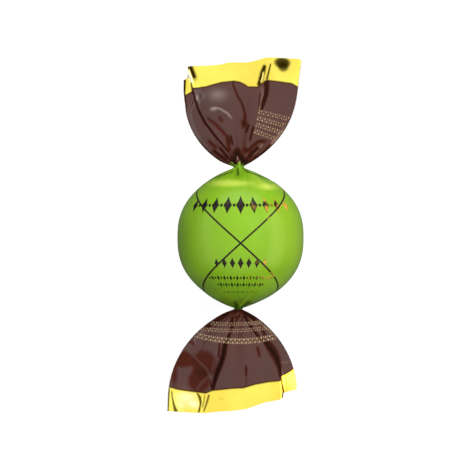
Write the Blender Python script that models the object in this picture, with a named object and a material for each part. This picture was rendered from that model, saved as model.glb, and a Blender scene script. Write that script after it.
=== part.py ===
"""A twist-wrapped chocolate bonbon lying on its side, as one closed solid.

The film hugs a ball of chocolate, is gathered at a neck at each end and flares from there into a
flat, pleated tail that is open at its rim. +Y runs along the sweet, +X across it and +Z up, in
metres. The origin is the middle of the small flat spot on which the ball rests.
"""

import math
from dataclasses import dataclass

import bmesh
import bpy
from mathutils import Vector

MM = 0.001

BALL_RADIUS = 13.9 * MM
SHOULDER_POWER = 2.5  # the ball's outline: how long it stays full along the sweet ...
SHOULDER_EDGE = 0.78  # ... and how flatly it then runs in to the neck
REST_DEPTH = 0.33 * MM  # how much the flat spot takes off the ball
AXIS_HEIGHT = BALL_RADIUS - REST_DEPTH
NECK_RADIUS = 1.2 * MM

FILM = 0.35 * MM  # the wall of a tail
HOLLOW_START = 5.0 * MM  # how far from its neck a tail is hollow
FLATTENED = 6.0 * MM  # how far from its neck a tail has lost its round section
LENS_POWER = 1.8  # its flat section: 1 has straight sides, 2 has bent ones, and both meet in a crease
PLEATS = 14  # gathers round each neck
PLEAT_DEPTH = 0.13  # of the radius, at the neck
PLEAT_FADE = 3.2 * MM  # the distance over which the gathers die out along a tail ...
BALL_PLEAT_FADE = 1.8 * MM  # ... and on the ball
FOLD_START = 5.0 * MM  # a tail's long folds begin here ...
FOLD_FULL = 13.0 * MM  # ... and have their full depth from here on
FOLD_EDGE = 2.5  # how fast they grow from the tail's edges inwards

AROUND = 56  # points round the sweet
BALL_ROWS = 22
TAIL_ROWS = 14
HOLLOW_ROWS = 8
NECK_JOIN = 4.0  # how sharply the neck's own radius takes over

GREEN = (0.26, 0.47, 0.03, 1.0)


@dataclass
class Fold:
    """A fold that runs from the neck to the rim, on the upper side of a tail."""

    place: float  # across the tail, from -1 at its left edge to 1 at its right edge
    drop: float  # how far the film steps down, from left to right
    slide: float  # how far the rim steps out, from left to right
    width: float  # of the step, as a share of the half width


@dataclass
class Tail:
    """One end of the film, from its neck to its rim."""

    end: int  # 1 towards +Y, -1 towards -Y
    neck: float  # from the ball's middle to the neck
    neck_shift: float  # the neck's place across the sweet
    half_width: float
    half_depth: float
    flare: float  # the distance over which the tail reaches its full width
    flare_power: float
    lean: float  # how far the rim's middle lies to the side of the neck
    lean_power: float
    kink: float  # how far the tail first goes to the side, just past the neck
    droop: float
    length: float  # at the left edge
    slant: float  # how much longer the right edge is
    slant_power: float
    folds: tuple


UPPER_TAIL = Tail(
    end=1,
    neck=15.5 * MM,
    neck_shift=-0.35 * MM,
    half_width=12.65 * MM,
    half_depth=3.3 * MM,
    flare=17.6 * MM,
    flare_power=0.7,
    lean=1.3 * MM,
    lean_power=3.0,
    kink=-0.95 * MM,
    droop=1.0 * MM,
    length=19.7 * MM,
    slant=1.0 * MM,
    slant_power=1.0,
    folds=(
        Fold(place=-0.92, drop=-0.8 * MM, slide=2.6 * MM, width=0.04),
        Fold(place=0.4, drop=1.3 * MM, slide=0.7 * MM, width=0.12),
    ),
)

LOWER_TAIL = Tail(
    end=-1,
    neck=15.7 * MM,
    neck_shift=-0.45 * MM,
    half_width=14.4 * MM,
    half_depth=3.4 * MM,
    flare=20.3 * MM,
    flare_power=0.72,
    lean=-1.35 * MM,
    lean_power=0.45,
    kink=0.0,
    droop=1.2 * MM,
    length=22.7 * MM,
    slant=-3.3 * MM,
    slant_power=2.2,
    folds=(
        Fold(place=-0.31, drop=-1.1 * MM, slide=-0.1 * MM, width=0.12),
        Fold(place=0.78, drop=1.2 * MM, slide=-1.4 * MM, width=0.1),
    ),
)


def smooth_step(value, start, end):
    share = min(1.0, max(0.0, (value - start) / (end - start)))
    return share * share * (3.0 - 2.0 * share)


def at_least_neck(radius):
    """The radius given, but never less than the neck's, joined smoothly."""
    return (radius**NECK_JOIN + NECK_RADIUS**NECK_JOIN) ** (1.0 / NECK_JOIN)


def pleat(angle, distance, fade):
    """How far the gathers go in and out at this distance from a neck, as a share."""
    return PLEAT_DEPTH * math.exp(-distance / fade) * math.cos(PLEATS * angle)


def ball_point(angle, along):
    """A point of the film round the ball; along runs from -1 at one neck to 1 at the other."""
    tail = UPPER_TAIL if along > 0.0 else LOWER_TAIL
    reach = min(1.0, abs(along))
    radius = at_least_neck(BALL_RADIUS * (1.0 - reach**SHOULDER_POWER) ** SHOULDER_EDGE)
    radius += NECK_RADIUS * pleat(angle, (1.0 - reach) * tail.neck, BALL_PLEAT_FADE)
    shift = tail.neck_shift * smooth_step(reach, 0.7, 1.0)
    return Vector(
        (
            shift + radius * math.cos(angle),
            along * tail.neck,
            AXIS_HEIGHT + radius * math.sin(angle),
        )
    )


def tail_length(tail, place):
    """How far the rim lies from the neck, at a place across the tail."""
    length = tail.length + tail.slant * ((1.0 + place) / 2.0) ** tail.slant_power
    for fold in tail.folds:
        length += fold.slide * smooth_step(place, fold.place - fold.width, fold.place + fold.width)
    return length


def fold_height(tail, place, distance):
    """How far the long folds lift the upper film here."""
    height = 0.0
    for fold in tail.folds:
        step = smooth_step(place, fold.place - fold.width, fold.place + fold.width)
        height += fold.drop * (0.5 - step)
    return height * smooth_step(distance, FOLD_START, FOLD_FULL)


def section_height(angle, distance):
    """The height of a tail's section as a share of its half depth, round at first and flat later."""
    lens = math.copysign(1.0 - abs(math.cos(angle)) ** LENS_POWER, math.sin(angle))
    flat = smooth_step(distance, 0.0, FLATTENED)
    return (1.0 - flat) * math.sin(angle) + flat * lens


def tail_point(tail, angle, share, inset=0.0):
    """A point of a tail; share runs from 0 at the neck to 1 at the rim, inset goes inwards."""
    place = math.cos(angle)
    distance = share * tail_length(tail, place)
    opened = min(1.0, distance / tail.flare)
    spread = 1.0 - (1.0 - opened) ** 2.2
    half_width = at_least_neck(tail.half_width * spread**tail.flare_power) - inset
    half_depth = at_least_neck(tail.half_depth * spread**0.5) - inset
    gather = 1.0 + pleat(angle, distance, PLEAT_FADE)
    kink = math.exp(-share / 0.25) * (1.0 - math.exp(-share / 0.05))
    side = tail.neck_shift + tail.lean * share**tail.lean_power + tail.kink * kink
    height = AXIS_HEIGHT - tail.droop * share**2
    section = section_height(angle, distance)
    relief = min(1.0, max(0.0, FOLD_EDGE * section))
    return Vector(
        (
            side + half_width * gather * place,
            tail.end * (tail.neck + distance),
            height
            + half_depth * gather * section
            + relief * fold_height(tail, place, distance),
        )
    )


def ring(bm, point_at):
    """A closed row of vertices round the sweet."""
    return [bm.verts.new(point_at(math.tau * i / AROUND)) for i in range(AROUND)]


def join_rings(bm, rings):
    for first, second in zip(rings, rings[1:]):
        for i in range(AROUND):
            j = (i + 1) % AROUND
            bm.faces.new((first[i], first[j], second[j], second[i]))


def close_ring(bm, verts):
    """Closes a row with a fan of triangles round its middle."""
    middle = bm.verts.new(sum((v.co for v in verts), Vector()) / len(verts))
    for i in range(AROUND):
        bm.faces.new((verts[i], verts[(i + 1) % AROUND], middle))


def tail_rings(bm, tail):
    """A tail's rows, from the bottom of its hollow out to the rim and back to the neck."""
    start = HOLLOW_START / tail.length
    inner = [start + (1.0 - start) * row / HOLLOW_ROWS for row in range(HOLLOW_ROWS + 1)]
    outer = [1.0 - row / TAIL_ROWS for row in range(TAIL_ROWS)]
    rings = [ring(bm, lambda a, s=s: tail_point(tail, a, s, FILM)) for s in inner]
    rings += [ring(bm, lambda a, s=s**1.5: tail_point(tail, a, s)) for s in outer]
    return rings


def ball_rings(bm):
    """The ball's rows, evenly spaced round its bend, from the upper neck to the lower one."""
    turns = [math.pi * row / BALL_ROWS for row in range(BALL_ROWS + 1)]
    return [ring(bm, lambda a, t=t: ball_point(a, math.cos(t))) for t in turns]


def cut_rest_face(bm):
    """Takes off the lowest part of the ball and closes the cut with one flat face."""
    geometry = bm.verts[:] + bm.edges[:] + bm.faces[:]
    cut = bmesh.ops.bisect_plane(
        bm, geom=geometry, dist=1e-7, plane_co=(0, 0, 0), plane_no=(0, 0, -1), clear_outer=True
    )
    edges = [e for e in cut["geom_cut"] if isinstance(e, bmesh.types.BMEdge)]
    bmesh.ops.contextual_create(bm, geom=edges)


def film_material():
    material = bpy.data.materials.new("green_film")
    material.use_nodes = True
    shader = material.node_tree.nodes["Principled BSDF"]
    shader.inputs["Base Color"].default_value = GREEN
    shader.inputs["Roughness"].default_value = 0.25
    shader.inputs["Metallic"].default_value = 0.0
    return material


def wrapped_bonbon():
    bm = bmesh.new()
    rings = tail_rings(bm, UPPER_TAIL)
    rings += ball_rings(bm)
    rings += reversed(tail_rings(bm, LOWER_TAIL))
    join_rings(bm, rings)
    close_ring(bm, rings[0])
    close_ring(bm, rings[-1])
    cut_rest_face(bm)
    bmesh.ops.recalc_face_normals(bm, faces=bm.faces)
    mesh = bpy.data.meshes.new("wrapped_bonbon")
    bm.to_mesh(mesh)
    bm.free()
    mesh.shade_smooth()
    mesh.set_sharp_from_angle(angle=math.radians(40.0))
    mesh.materials.append(film_material())
    bonbon = bpy.data.objects.new("wrapped_bonbon", mesh)
    bpy.context.scene.collection.objects.link(bonbon)
    return bonbon


for old in list(bpy.data.objects):
    bpy.data.objects.remove(old)
wrapped_bonbon()
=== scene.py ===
"""A twist-wrapped chocolate bonbon: printed film round a ball, with two flared, pleated tails.

The film is one surface, worked out on one grid of rows and columns. The rows run along the sweet,
from one rim over the ball to the other rim, and each row is a closed turn of film. The colours of
the print begin and end at whole rows, so that each colour is a piece of its own with a crisp edge.
"""

import math
from dataclasses import dataclass

import bpy
import numpy as np
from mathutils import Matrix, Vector


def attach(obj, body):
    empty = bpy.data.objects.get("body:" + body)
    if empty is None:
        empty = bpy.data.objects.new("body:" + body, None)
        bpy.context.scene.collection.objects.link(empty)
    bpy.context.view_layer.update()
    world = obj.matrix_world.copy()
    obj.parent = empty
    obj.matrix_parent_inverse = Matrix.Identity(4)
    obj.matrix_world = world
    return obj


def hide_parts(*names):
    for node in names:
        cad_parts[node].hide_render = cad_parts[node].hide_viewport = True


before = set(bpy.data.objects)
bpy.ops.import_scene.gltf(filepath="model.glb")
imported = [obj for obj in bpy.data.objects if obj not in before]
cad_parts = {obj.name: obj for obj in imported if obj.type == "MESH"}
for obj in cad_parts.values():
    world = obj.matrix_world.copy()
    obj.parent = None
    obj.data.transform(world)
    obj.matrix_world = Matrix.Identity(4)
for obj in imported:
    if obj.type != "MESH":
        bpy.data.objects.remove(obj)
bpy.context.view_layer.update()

MM = 0.001
WHITE = (1.0, 1.0, 1.0)

# ---- the form that the solid has too

BALL_RADIUS = 13.9 * MM
SHOULDER_POWER = 2.5  # the ball's outline: how long it stays full along the sweet ...
SHOULDER_EDGE = 0.78  # ... and how flatly it then runs in to the neck
REST_DEPTH = 0.33 * MM
AXIS_HEIGHT = BALL_RADIUS - REST_DEPTH
NECK_JOIN = 4.0  # how sharply a neck's own radius takes over
SPREAD_POWER = 2.2  # how fast a tail opens at first
KINK_GROWTH = 0.05  # the share of a tail's length in which it goes to the side ...
KINK_FADE = 0.25  # ... and in which it comes back
SLIDE_WIDTH = 0.05  # across a tail, half of the width of a step in its rim
FLATTENED = 6.0 * MM  # how far from its neck a tail has lost its round section
LENS_POWER = 1.8  # its flat section: 1 has straight sides, 2 has bent ones
FOLD_GROWTH = 7.0 * MM  # the distance over which a fold reaches its full step ...
FOLD_FADE = 4.0 * MM  # ... and over which it flattens towards the rim
FOLD_EDGE = 2.5  # how fast the folds grow from a tail's side edges inwards


@dataclass
class Fold:
    """A step in the upper film of a tail, along a path of points (x, distance from the neck)."""

    path: tuple
    drop: float  # how far the film steps down, from left to right
    width: float  # half of the step's width
    at_rim: float  # the share of the step that is left at the rim
    start: float = 3.0 * MM  # how far from the neck the step begins ...
    fade: float = 15.0 * MM  # ... and how far from it the step begins to flatten


@dataclass
class Tuck:
    """A strip along the left edge that lies under the rest of the upper film and ends before it."""

    place: float  # the column of film, from -1 at the left edge, that follows the path
    path: tuple
    edge: tuple  # the path of the left edge itself
    start: float  # how far from the neck the strip begins and is whole
    full: float
    reach: float  # the place up to which the film is pulled along
    drop: float
    width: float
    rim: tuple  # how far from the neck the strip ends, at the left edge and at the fold
    band: tuple  # where its gold begins


@dataclass
class Line:
    """A crease in the film through points in mm: (x, distance from the neck), or (x, y) on the ball.

    Its tone is painted light and shade along it: -1 is painted black shade, -0.5 has lost its gloss
    as a painted dark reflection, 1 is pale, as wear and as a painted highlight.
    """

    points: tuple
    depth: float  # in mm; a valley, or a ridge where it is negative
    width: object  # in mm, one number or one for each point
    tone: float
    taper: float = 0.12
    pale_cover: float = 1.0  # the share of the darker marks under it that a pale line hides


@dataclass
class Spot:
    """A soft hollow in the film, or a swelling where its depth is negative, in mm."""

    x: float
    y: float
    across: float
    along: float
    depth: float
    # tone: painted shade and painted dark reflections below 0, a painted highlight above 0
    tone: float
    power: float = 2.0


@dataclass
class Tail:
    """One end of the film, from its neck to its rim."""

    end: int  # 1 towards +Y, -1 towards -Y
    neck: float
    neck_radius: float
    neck_shift: float
    half_width: float
    half_depth: float
    flare: float
    flare_power: float
    lean: float
    lean_power: float
    kink: float
    droop: float
    length: float
    slant: float
    slant_power: float
    slides: tuple  # where the plain rim steps out, from left to right: (place, how far)
    folds: tuple
    tuck: object
    lines: tuple
    spots: tuple
    rim: tuple  # where the upper film ends: points (x, distance from the neck) in mm
    band: tuple  # where its gold band begins
    green_end: float  # how far the green print reaches past the neck ...
    spikes: float  # ... and how far its points reach further
    seed: int


UPPER_TAIL = Tail(
    end=1,
    neck=15.5 * MM,
    neck_radius=1.1 * MM,
    neck_shift=-0.35 * MM,
    half_width=12.65 * MM,
    half_depth=3.3 * MM,
    flare=17.6 * MM,
    flare_power=0.7,
    lean=1.3 * MM,
    lean_power=3.0,
    kink=-0.95 * MM,
    droop=1.0 * MM,
    length=19.7 * MM,
    slant=1.0 * MM,
    slant_power=1.0,
    slides=((-0.92, 2.6 * MM), (0.41, 0.7 * MM)),
    folds=(
        Fold(
            path=((2.54, 6.0), (3.9, 10.9), (4.52, 13.7), (5.29, 15.5), (5.51, 17.5),
                  (5.84, 19.2), (6.66, 22.6), (6.94, 24.1)),
            drop=1.0 * MM, width=0.5 * MM, at_rim=0.12, start=10.0 * MM,
        ),
    ),
    tuck=Tuck(
        place=-0.93,
        path=((-9.94, 14.6), (-10.55, 16.6), (-10.69, 17.5), (-10.91, 18.56), (-11.13, 19.45),
              (-11.44, 19.9), (-11.7, 20.55), (-11.69, 22.1)),
        edge=((-12.05, 13.0), (-12.5, 15.0), (-12.66, 17.0), (-12.61, 19.4)),
        start=12.0 * MM, full=16.0 * MM, reach=-0.5, drop=0.12 * MM, width=0.24 * MM,
        rim=(19.25 * MM, 19.85 * MM), band=(15.7 * MM, 16.75 * MM),
    ),
    lines=(
        # dark tones are painted shade in the creases, pale ones painted highlights
        # the long crease from the left tuck to the neck, and the soft ones beside it
        Line(((-10.6, 17.2), (-9.94, 14.6), (-9.11, 12.2), (-7.74, 9.6), (-6.22, 7.6),
              (-5.03, 6.1), (-3.86, 4.7), (-2.54, 3.1)), 0.2,
             (0.14, 0.16, 0.26, 0.3, 0.28, 0.26, 0.22, 0.2), -0.97, 0.05),
        Line(((-10.25, 17.2), (-9.63, 15.3), (-9.0, 13.6)), -0.1, 0.3, 0.08),
        Line(((-7.74, 11.2), (-6.72, 10.3), (-5.71, 9.5), (-4.74, 8.5), (-3.86, 7.6),
              (-2.82, 6.4), (-2.3, 4.5)), 0.25, (0.25, 0.35, 0.45, 0.4, 0.4, 0.45, 0.4), -0.42),
        Line(((-5.1, 11.3), (-4.3, 10.3), (-3.6, 9.4)), 0.3, (0.3, 0.5, 0.3), -0.36, 0.4),
        Line(((-7.4, 6.2), (-6.2, 4.9), (-4.8, 3.8)), 0.2, 0.45, -0.45, 0.3),
        Line(((-6.2, 12.75), (-5.4, 12.85), (-4.5, 12.65), (-2.87, 11.65), (-1.75, 10.3)),
             -0.2, 0.22, 0.3, 0.2),
        # the crease from the middle of the band to the hollow above the neck
        Line(((-1.81, 18.7), (-1.32, 17.0), (-0.77, 15.6), (0.22, 13.9), (0.66, 12.6),
              (0.99, 11.3), (0.88, 10.2)), 0.22, (0.16, 0.2, 0.22, 0.24, 0.26, 0.28, 0.4),
             -0.62, 0.05),
        Line(((1.87, 9.5), (1.5, 8.4), (1.04, 7.2)), 0.25, 0.3, -0.85, 0.25),
        Line(((2.9, 9.2), (2.31, 6.9), (1.98, 5.3)), 0.25, 0.28, -0.82, 0.25),
        # gathers near the neck
        Line(((-2.3, 7.2), (-1.95, 5.8), (-1.65, 4.4)), 0.2, 0.24, -0.8, 0.3),
        Line(((-2.95, 7.0), (-2.7, 4.9), (-2.3, 2.6)), 0.25, 0.5, -0.5, 0.3),
        Line(((-4.74, 4.45), (-3.86, 3.35), (-2.54, 1.7)), 0.3, 0.35, -0.64, 0.2),
        Line(((-6.4, 3.9), (-4.7, 2.6), (-2.76, 1.3)), 0.25, 0.4, -0.7, 0.2),
        Line(((-1.2, 2.2), (-1.35, 0.4)), 0.25, 0.36, -1.0, 0.1),
        Line(((0.0, 2.6), (0.7, 0.3)), 0.3, 0.36, -1.0, 0.1),
        Line(((5.9, 5.8), (3.86, 5.5), (2.31, 4.2), (1.5, 2.9)), 0.3, 0.4, -0.62, 0.2),
        Line(((4.1, 4.5), (2.67, 3.2), (1.5, 1.7)), 0.3, 0.42, -0.88, 0.2),
        Line(((6.9, 5.4), (4.8, 3.1), (2.6, 1.4)), 0.2, 0.3, -0.75, 0.2),
        Line(((-0.75, 2.6), (-0.6, 1.2)), -0.1, 0.16, 0.3, 0.3),
        # the Z-shaped fold and its lines through the band
        Line(((5.4, 22.5), (4.8, 20.5), (4.4, 19.0), (3.8, 17.6)), 0.12,
             (0.36, 0.62, 0.6, 0.4), -1.0, 0.08),
        Line(((5.05, 21.0), (4.85, 19.6), (4.4, 18.3)), -0.05, 0.16, 0.4, 0.2),
        Line(((6.66, 22.8), (6.17, 20.8), (5.74, 19.0)), 0.0, (0.18, 0.24, 0.26), -0.9, 0.08),
        Line(((5.65, 19.1), (5.72, 17.4), (5.66, 16.0), (5.4, 14.9), (4.95, 13.6), (4.45, 12.2)),
             0.0, (0.6, 0.6, 0.5, 0.42, 0.36, 0.26), -0.97, 0.06),
        Line(((4.78, 17.9), (4.56, 15.3), (4.08, 12.4)), -0.04, 0.13, 0.08, 0.2),
        Line(((4.37, 16.6), (4.14, 14.6), (3.9, 12.6)), 0.08, 0.16, -0.6, 0.25),
        # the left tuck: its outline, and the curled corner above it with a painted dark reflection
        # and a pale painted highlight
        Line(((-11.4, 19.9), (-11.08, 19.2), (-10.86, 18.3), (-10.66, 17.2), (-10.55, 16.4)), 0.0,
             (0.12, 0.14, 0.17, 0.24, 0.24), -0.9, 0.02),
        Line(((-12.61, 19.6), (-12.66, 17.0), (-12.4, 14.6), (-12.05, 13.0)), 0.0,
             (0.46, 0.5, 0.4, 0.25), -1.0, 0.05),
        Line(((-11.15, 22.4), (-10.9, 21.6), (-10.5, 20.6), (-10.15, 19.6)), 0.02, 0.64, -1.0, 0.02),
        Line(((-11.5, 21.6), (-11.25, 20.5), (-10.98, 19.6), (-10.65, 18.6)), 0.0,
             (0.2, 0.35, 0.42, 0.3), 0.95, 0.1),
    ),
    spots=(
        # painted shade in the hollows and round the neck, pale painted highlights, and painted dark
        # reflections on the gold
        Spot(0.73, 9.4, 0.62, 0.95, 0.35, -0.9, 2.6),
        Spot(-0.8, 2.75, 0.95, 1.2, 0.4, -1.0, 3.0),
        Spot(1.1, 1.45, 0.8, 0.75, 0.0, -0.9),
        Spot(-1.75, 1.7, 0.6, 1.0, 0.0, -0.85),
        Spot(1.2, 3.6, 0.5, 0.6, 0.2, -0.85),
        Spot(-6.0, 12.65, 0.65, 0.38, -0.15, 0.4),
        Spot(-9.6, 15.2, 0.3, 0.5, -0.1, 0.5),
        Spot(-5.1, 15.6, 1.9, 1.3, -0.25, 0.2),
        Spot(-12.9, 19.8, 0.9, 5.5, 0.0, -1.0, 12.0),
        Spot(9.2, 22.95, 1.85, 1.25, 0.0, -0.96, 8.0),
        Spot(9.4, 22.1, 1.25, 1.15, 0.0, -0.9, 6.0),
    ),
    rim=((-11.5, 22.2), (-10.69, 22.3), (-6.94, 22.3),
         (-4.19, 22.5), (-2.76, 22.85), (0.99, 22.85), (2.09, 22.95), (4.08, 23.5), (5.4, 23.95),
         (6.94, 24.05), (12.9, 23.95), (13.3, 23.7)),
    band=((-11.0, 17.45), (-7.83, 17.6), (-4.19, 18.5),
          (-1.43, 18.75), (-0.11, 18.5), (0.99, 17.95), (1.65, 17.45), (3.64, 17.45),
          (4.74, 18.3), (5.84, 19.0), (9.04, 18.7), (11.35, 18.45), (12.9, 17.7)),
    green_end=0.35 * MM,
    spikes=0.95 * MM,
    seed=11,
)

LOWER_TAIL = Tail(
    end=-1,
    neck=15.7 * MM,
    neck_radius=0.85 * MM,
    neck_shift=-0.45 * MM,
    half_width=14.4 * MM,
    half_depth=3.4 * MM,
    flare=20.3 * MM,
    flare_power=0.72,
    lean=-1.35 * MM,
    lean_power=0.45,
    kink=0.0,
    droop=1.2 * MM,
    length=22.7 * MM,
    slant=-3.3 * MM,
    slant_power=2.2,
    slides=((-0.31, -0.1 * MM), (0.77, -1.4 * MM)),
    folds=(
        Fold(
            path=((-1.87, 1.6), (-1.87, 3.8), (-2.65, 6.0), (-3.42, 7.6), (-3.6, 9.6),
                  (-4.25, 11.8), (-5.25, 14.4), (-6.1, 17.3), (-7.17, 20.1), (-7.83, 22.8)),
            drop=-0.8 * MM, width=0.5 * MM, at_rim=0.15,
        ),
        Fold(
            path=((0.68, 1.2), (2.05, 3.5), (3.73, 5.8), (5.4, 7.6), (6.94, 9.3), (8.05, 11.1),
                  (8.6, 12.9), (8.84, 15.3), (9.15, 17.3), (9.41, 19.5)),
            drop=1.0 * MM, width=0.5 * MM, at_rim=0.05, fade=11.5 * MM,
        ),
    ),
    tuck=None,
    lines=(
        # dark tones are painted shade in the creases
        # pale lines over the left part, which take back part of the painted dark patches under them
        Line(((-11.9, 8.2), (-10.94, 9.9), (-9.15, 11.5), (-7.52, 13.1), (-6.83, 14.3),
              (-6.33, 15.5), (-6.13, 16.4)), -0.03, (0.2, 0.28, 0.3, 0.32, 0.34, 0.28, 0.22),
             0.03, 0.05, 0.52),
        Line(((-6.6, 14.3), (-7.4, 15.1), (-8.0, 15.7), (-8.93, 16.7), (-9.72, 17.9)),
             -0.05, 0.38, 0.02, 0.1, 0.52),
        Line(((-6.6, 14.0), (-6.0, 12.6), (-5.7, 10.9)), -0.04, 0.3, 0.01, 0.3, 0.45),
        # the fold left of the middle
        Line(((-1.87, 1.6), (-1.87, 3.8), (-2.65, 6.0), (-3.3, 7.3)), 0.25, 0.3, -0.9, 0.1),
        Line(((-3.1, 6.6), (-3.45, 8.0), (-3.7, 9.8), (-4.3, 11.8), (-5.1, 13.9), (-5.75, 16.0),
              (-6.2, 17.8)), 0.0, (0.5, 0.62, 0.62, 0.6, 0.55, 0.5, 0.4), -0.95, 0.05),
        Line(((-4.56, 6.9), (-4.7, 9.1), (-4.96, 10.9)), 0.1, 0.2, -0.8, 0.2),
        Line(((-6.4, 17.4), (-6.55, 16.2), (-6.4, 15.2)), 0.1, 0.16, -0.7, 0.2),
        # the fold before the right flap
        Line(((0.68, 1.2), (2.05, 3.5), (3.73, 5.8), (4.9, 7.0)), 0.25, 0.34, -0.95, 0.05),
        Line(((4.9, 6.6), (6.2, 7.9), (7.15, 9.3), (8.0, 11.0), (8.55, 12.9), (8.84, 15.3)), 0.0,
             (0.46, 0.84, 0.95, 0.72, 0.45, 0.36), -0.95, 0.08),
        Line(((4.3, 3.6), (5.1, 5.2), (5.5, 6.3)), 0.15, 0.35, -0.75, 0.2),
        Line(((8.88, 15.0), (9.17, 16.8), (9.48, 18.2), (9.42, 18.95), (9.2, 19.75)), 0.0,
             (0.24, 0.18, 0.3, 0.32, 0.24), -0.97, 0.02),
        Line(((8.75, 11.8), (10.65, 11.8)), -0.02, 0.1, 0.13, 0.1),
        # short creases between them
        Line(((3.5, 7.6), (3.9, 9.2), (4.25, 10.9)), 0.2, 0.36, -0.55, 0.35),
        Line(((1.17, 12.0), (1.26, 14.9)), 0.2, 0.26, -0.7, 0.3),
        Line(((1.26, 14.5), (1.2, 17.1)), 0.08, 0.18, -0.3, 0.1),
        Line(((-12.0, 7.6), (-10.6, 7.3), (-10.0, 8.6)), 0.15, 0.3, -0.4, 0.3),
        # gathers near the neck
        Line(((-2.2, 0.6), (-4.08, 1.8), (-6.28, 3.3), (-8.2, 4.7)), 0.25, 0.42, -0.9, 0.15),
        Line(((0.45, 0.5), (1.87, 1.3), (3.42, 2.5)), 0.25, 0.5, -0.95, 0.1),
        Line(((-1.2, 1.4), (-2.0, 2.5), (-2.9, 3.8)), 0.2, 0.24, -0.75, 0.2),
        # lines through the gold band
        Line(((-9.55, 18.5), (-8.93, 19.4), (-8.75, 20.6), (-8.93, 21.6), (-9.17, 22.7)), 0.15,
             (0.16, 0.36, 0.28, 0.2, 0.26), -0.95, 0.02),
        Line(((-7.83, 18.7), (-8.07, 20.4), (-8.44, 21.8)), 0.05, 0.15, -0.7, 0.1),
        Line(((-6.86, 18.7), (-7.34, 20.4), (-8.07, 22.6)), 0.1, (0.26, 0.26, 0.18), -0.85, 0.05),
        Line(((-15.17, 18.2), (-15.06, 19.64), (-14.68, 21.36), (-14.2, 22.8)), 0.1,
             (0.14, 0.17, 0.28, 0.5), -0.9, 0.02),
        Line(((-15.75, 17.6), (-15.92, 20.0), (-16.05, 22.8)), 0.0, 0.2, -0.9, 0.02),
    ),
    spots=(
        # painted dark patches on the left, with the gloss taken off as a painted dark reflection,
        # painted shade round the neck, and pale painted highlights on the gold
        Spot(-12.8, 11.1, 2.8, 1.9, 0.25, -0.45, 8.0),
        Spot(-8.0, 12.2, 2.8, 3.2, 0.35, -0.45, 8.0),
        Spot(-9.1, 15.8, 2.5, 2.6, 0.2, -0.45, 8.0),
        Spot(-14.6, 14.3, 0.8, 2.6, 0.0, -0.4, 4.0),
        Spot(-4.15, 19.6, 0.55, 0.25, 0.0, -0.2),
        Spot(-0.3, 0.15, 1.5, 0.6, 0.0, -0.95),
        Spot(-0.95, 1.75, 0.26, 0.42, 0.2, -0.9),
        Spot(-0.3, 1.35, 0.2, 0.36, 0.15, -0.9),
        Spot(9.5, 18.9, 0.32, 0.5, 0.1, -0.9, 3.0),
        Spot(-11.9, 19.4, 2.3, 1.2, -0.1, 0.6),
        Spot(-10.2, 21.0, 1.3, 0.8, -0.1, 0.75),
        Spot(-13.3, 21.3, 1.2, 1.0, 0.0, 0.4),
    ),
    rim=((-15.98, 22.7), (-12.68, 22.8), (-9.15, 22.85), (-7.61, 22.85), (-4.61, 22.45),
         (-1.87, 22.3), (1.21, 21.9), (5.18, 20.6), (8.71, 20.0), (9.38, 19.55), (9.46, 18.5),
         (10.25, 18.35), (12.24, 17.9), (12.68, 17.5)),
    band=((-15.76, 17.3), (-13.78, 17.8), (-10.69, 18.15), (-7.61, 18.45), (-6.13, 17.8),
          (-1.87, 17.3), (0.66, 17.2), (3.2, 16.45), (6.22, 15.95), (8.82, 15.8),
          (8.95, 14.8), (11.35, 13.65), (12.46, 13.1)),
    green_end=0.1 * MM,
    spikes=0.15 * MM,
    seed=23,
)

# ---- what only the film has

COLUMNS = 470
FOLD_PLACES = (0.41, -0.31, 0.7)  # across a tail, where the columns are crowded for a fold ...
FOLD_CROWD = 0.08  # ... and how far to each side of it
FINE_STEPS = 8000  # round the sweet, to space the columns with
BALL_ROWS = 160
GREEN_ROWS = 5  # from each neck to the end of the green
BROWN_ROWS = 92
GOLD_ROWS = 30
ROW_CROWDING = 1.35  # how much closer the brown rows lie near a neck
FILM = 0.05 * MM
RIM_BAND = 4.9 * MM  # the gold band's width on the underside
UNDER_RIM = 0.3 * MM  # how much shorter the film is on the underside
WAVE_HEIGHT = 0.32 * MM  # of the waves of the underside
WAVES_START = 3.0 * MM  # how far from a neck they begin ...
WAVES_FULL = 12.0 * MM  # ... and have their full height
GREEN_POINTS = 15  # round each neck, where the green print ends in points

SIDE_TONE = -0.95  # painted shade: the rolled side edge of a tail is painted dark
SIDE_SHADE = 0.986  # across a tail, from where it does so ...
NECK_SIDE_SHADE = 0.09  # ... and how much further in at a neck
NECK_SIDE_FADE = 5.0 * MM
SIDE_START = (0.3 * MM, 1.5 * MM)  # how far from a neck it begins and is whole
NECK_TONE = -0.14
NECK_SHADE = 1.6 * MM  # how far the film is painted dark round a neck, a painted shade
EDGE_TONE = -0.85  # the thin dark line where a gold band begins
EDGE_WIDTH = 0.15 * MM

TAIL_PLEATS = (  # for each level: how many, how deep, where they start, how far they run, their tone, painted shade in their valleys
    (30, 0.17 * MM, 0.0, 1.5 * MM, 1.0),
    (15, 0.42 * MM, 1.0 * MM, 2.4 * MM, 1.0),
    (8, 0.5 * MM, 3.0 * MM, 4.2 * MM, 0.5),
)
BALL_PLEATS = (
    (30, 0.17 * MM, 0.0, 0.8 * MM, 0.75),
    (15, 0.2 * MM, 1.0 * MM, 1.4 * MM, 0.5),
    (8, 0.14 * MM, 2.5 * MM, 2.6 * MM, 0.25),
)
MEAN_WAVE = 0.64  # the mean height of a gather, as a share of its full height
VALLEY = 0.24  # the part of a gather, at its bottom, that is painted dark as painted shade
DRIFT = 0.16  # how far the gathers stray round a neck, in radians
UNEVEN = 0.75  # how much they differ in depth
TWIST = 0.5  # how far the film is turned at a neck, in radians
TWIST_FADE = 1.5 * MM

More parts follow.
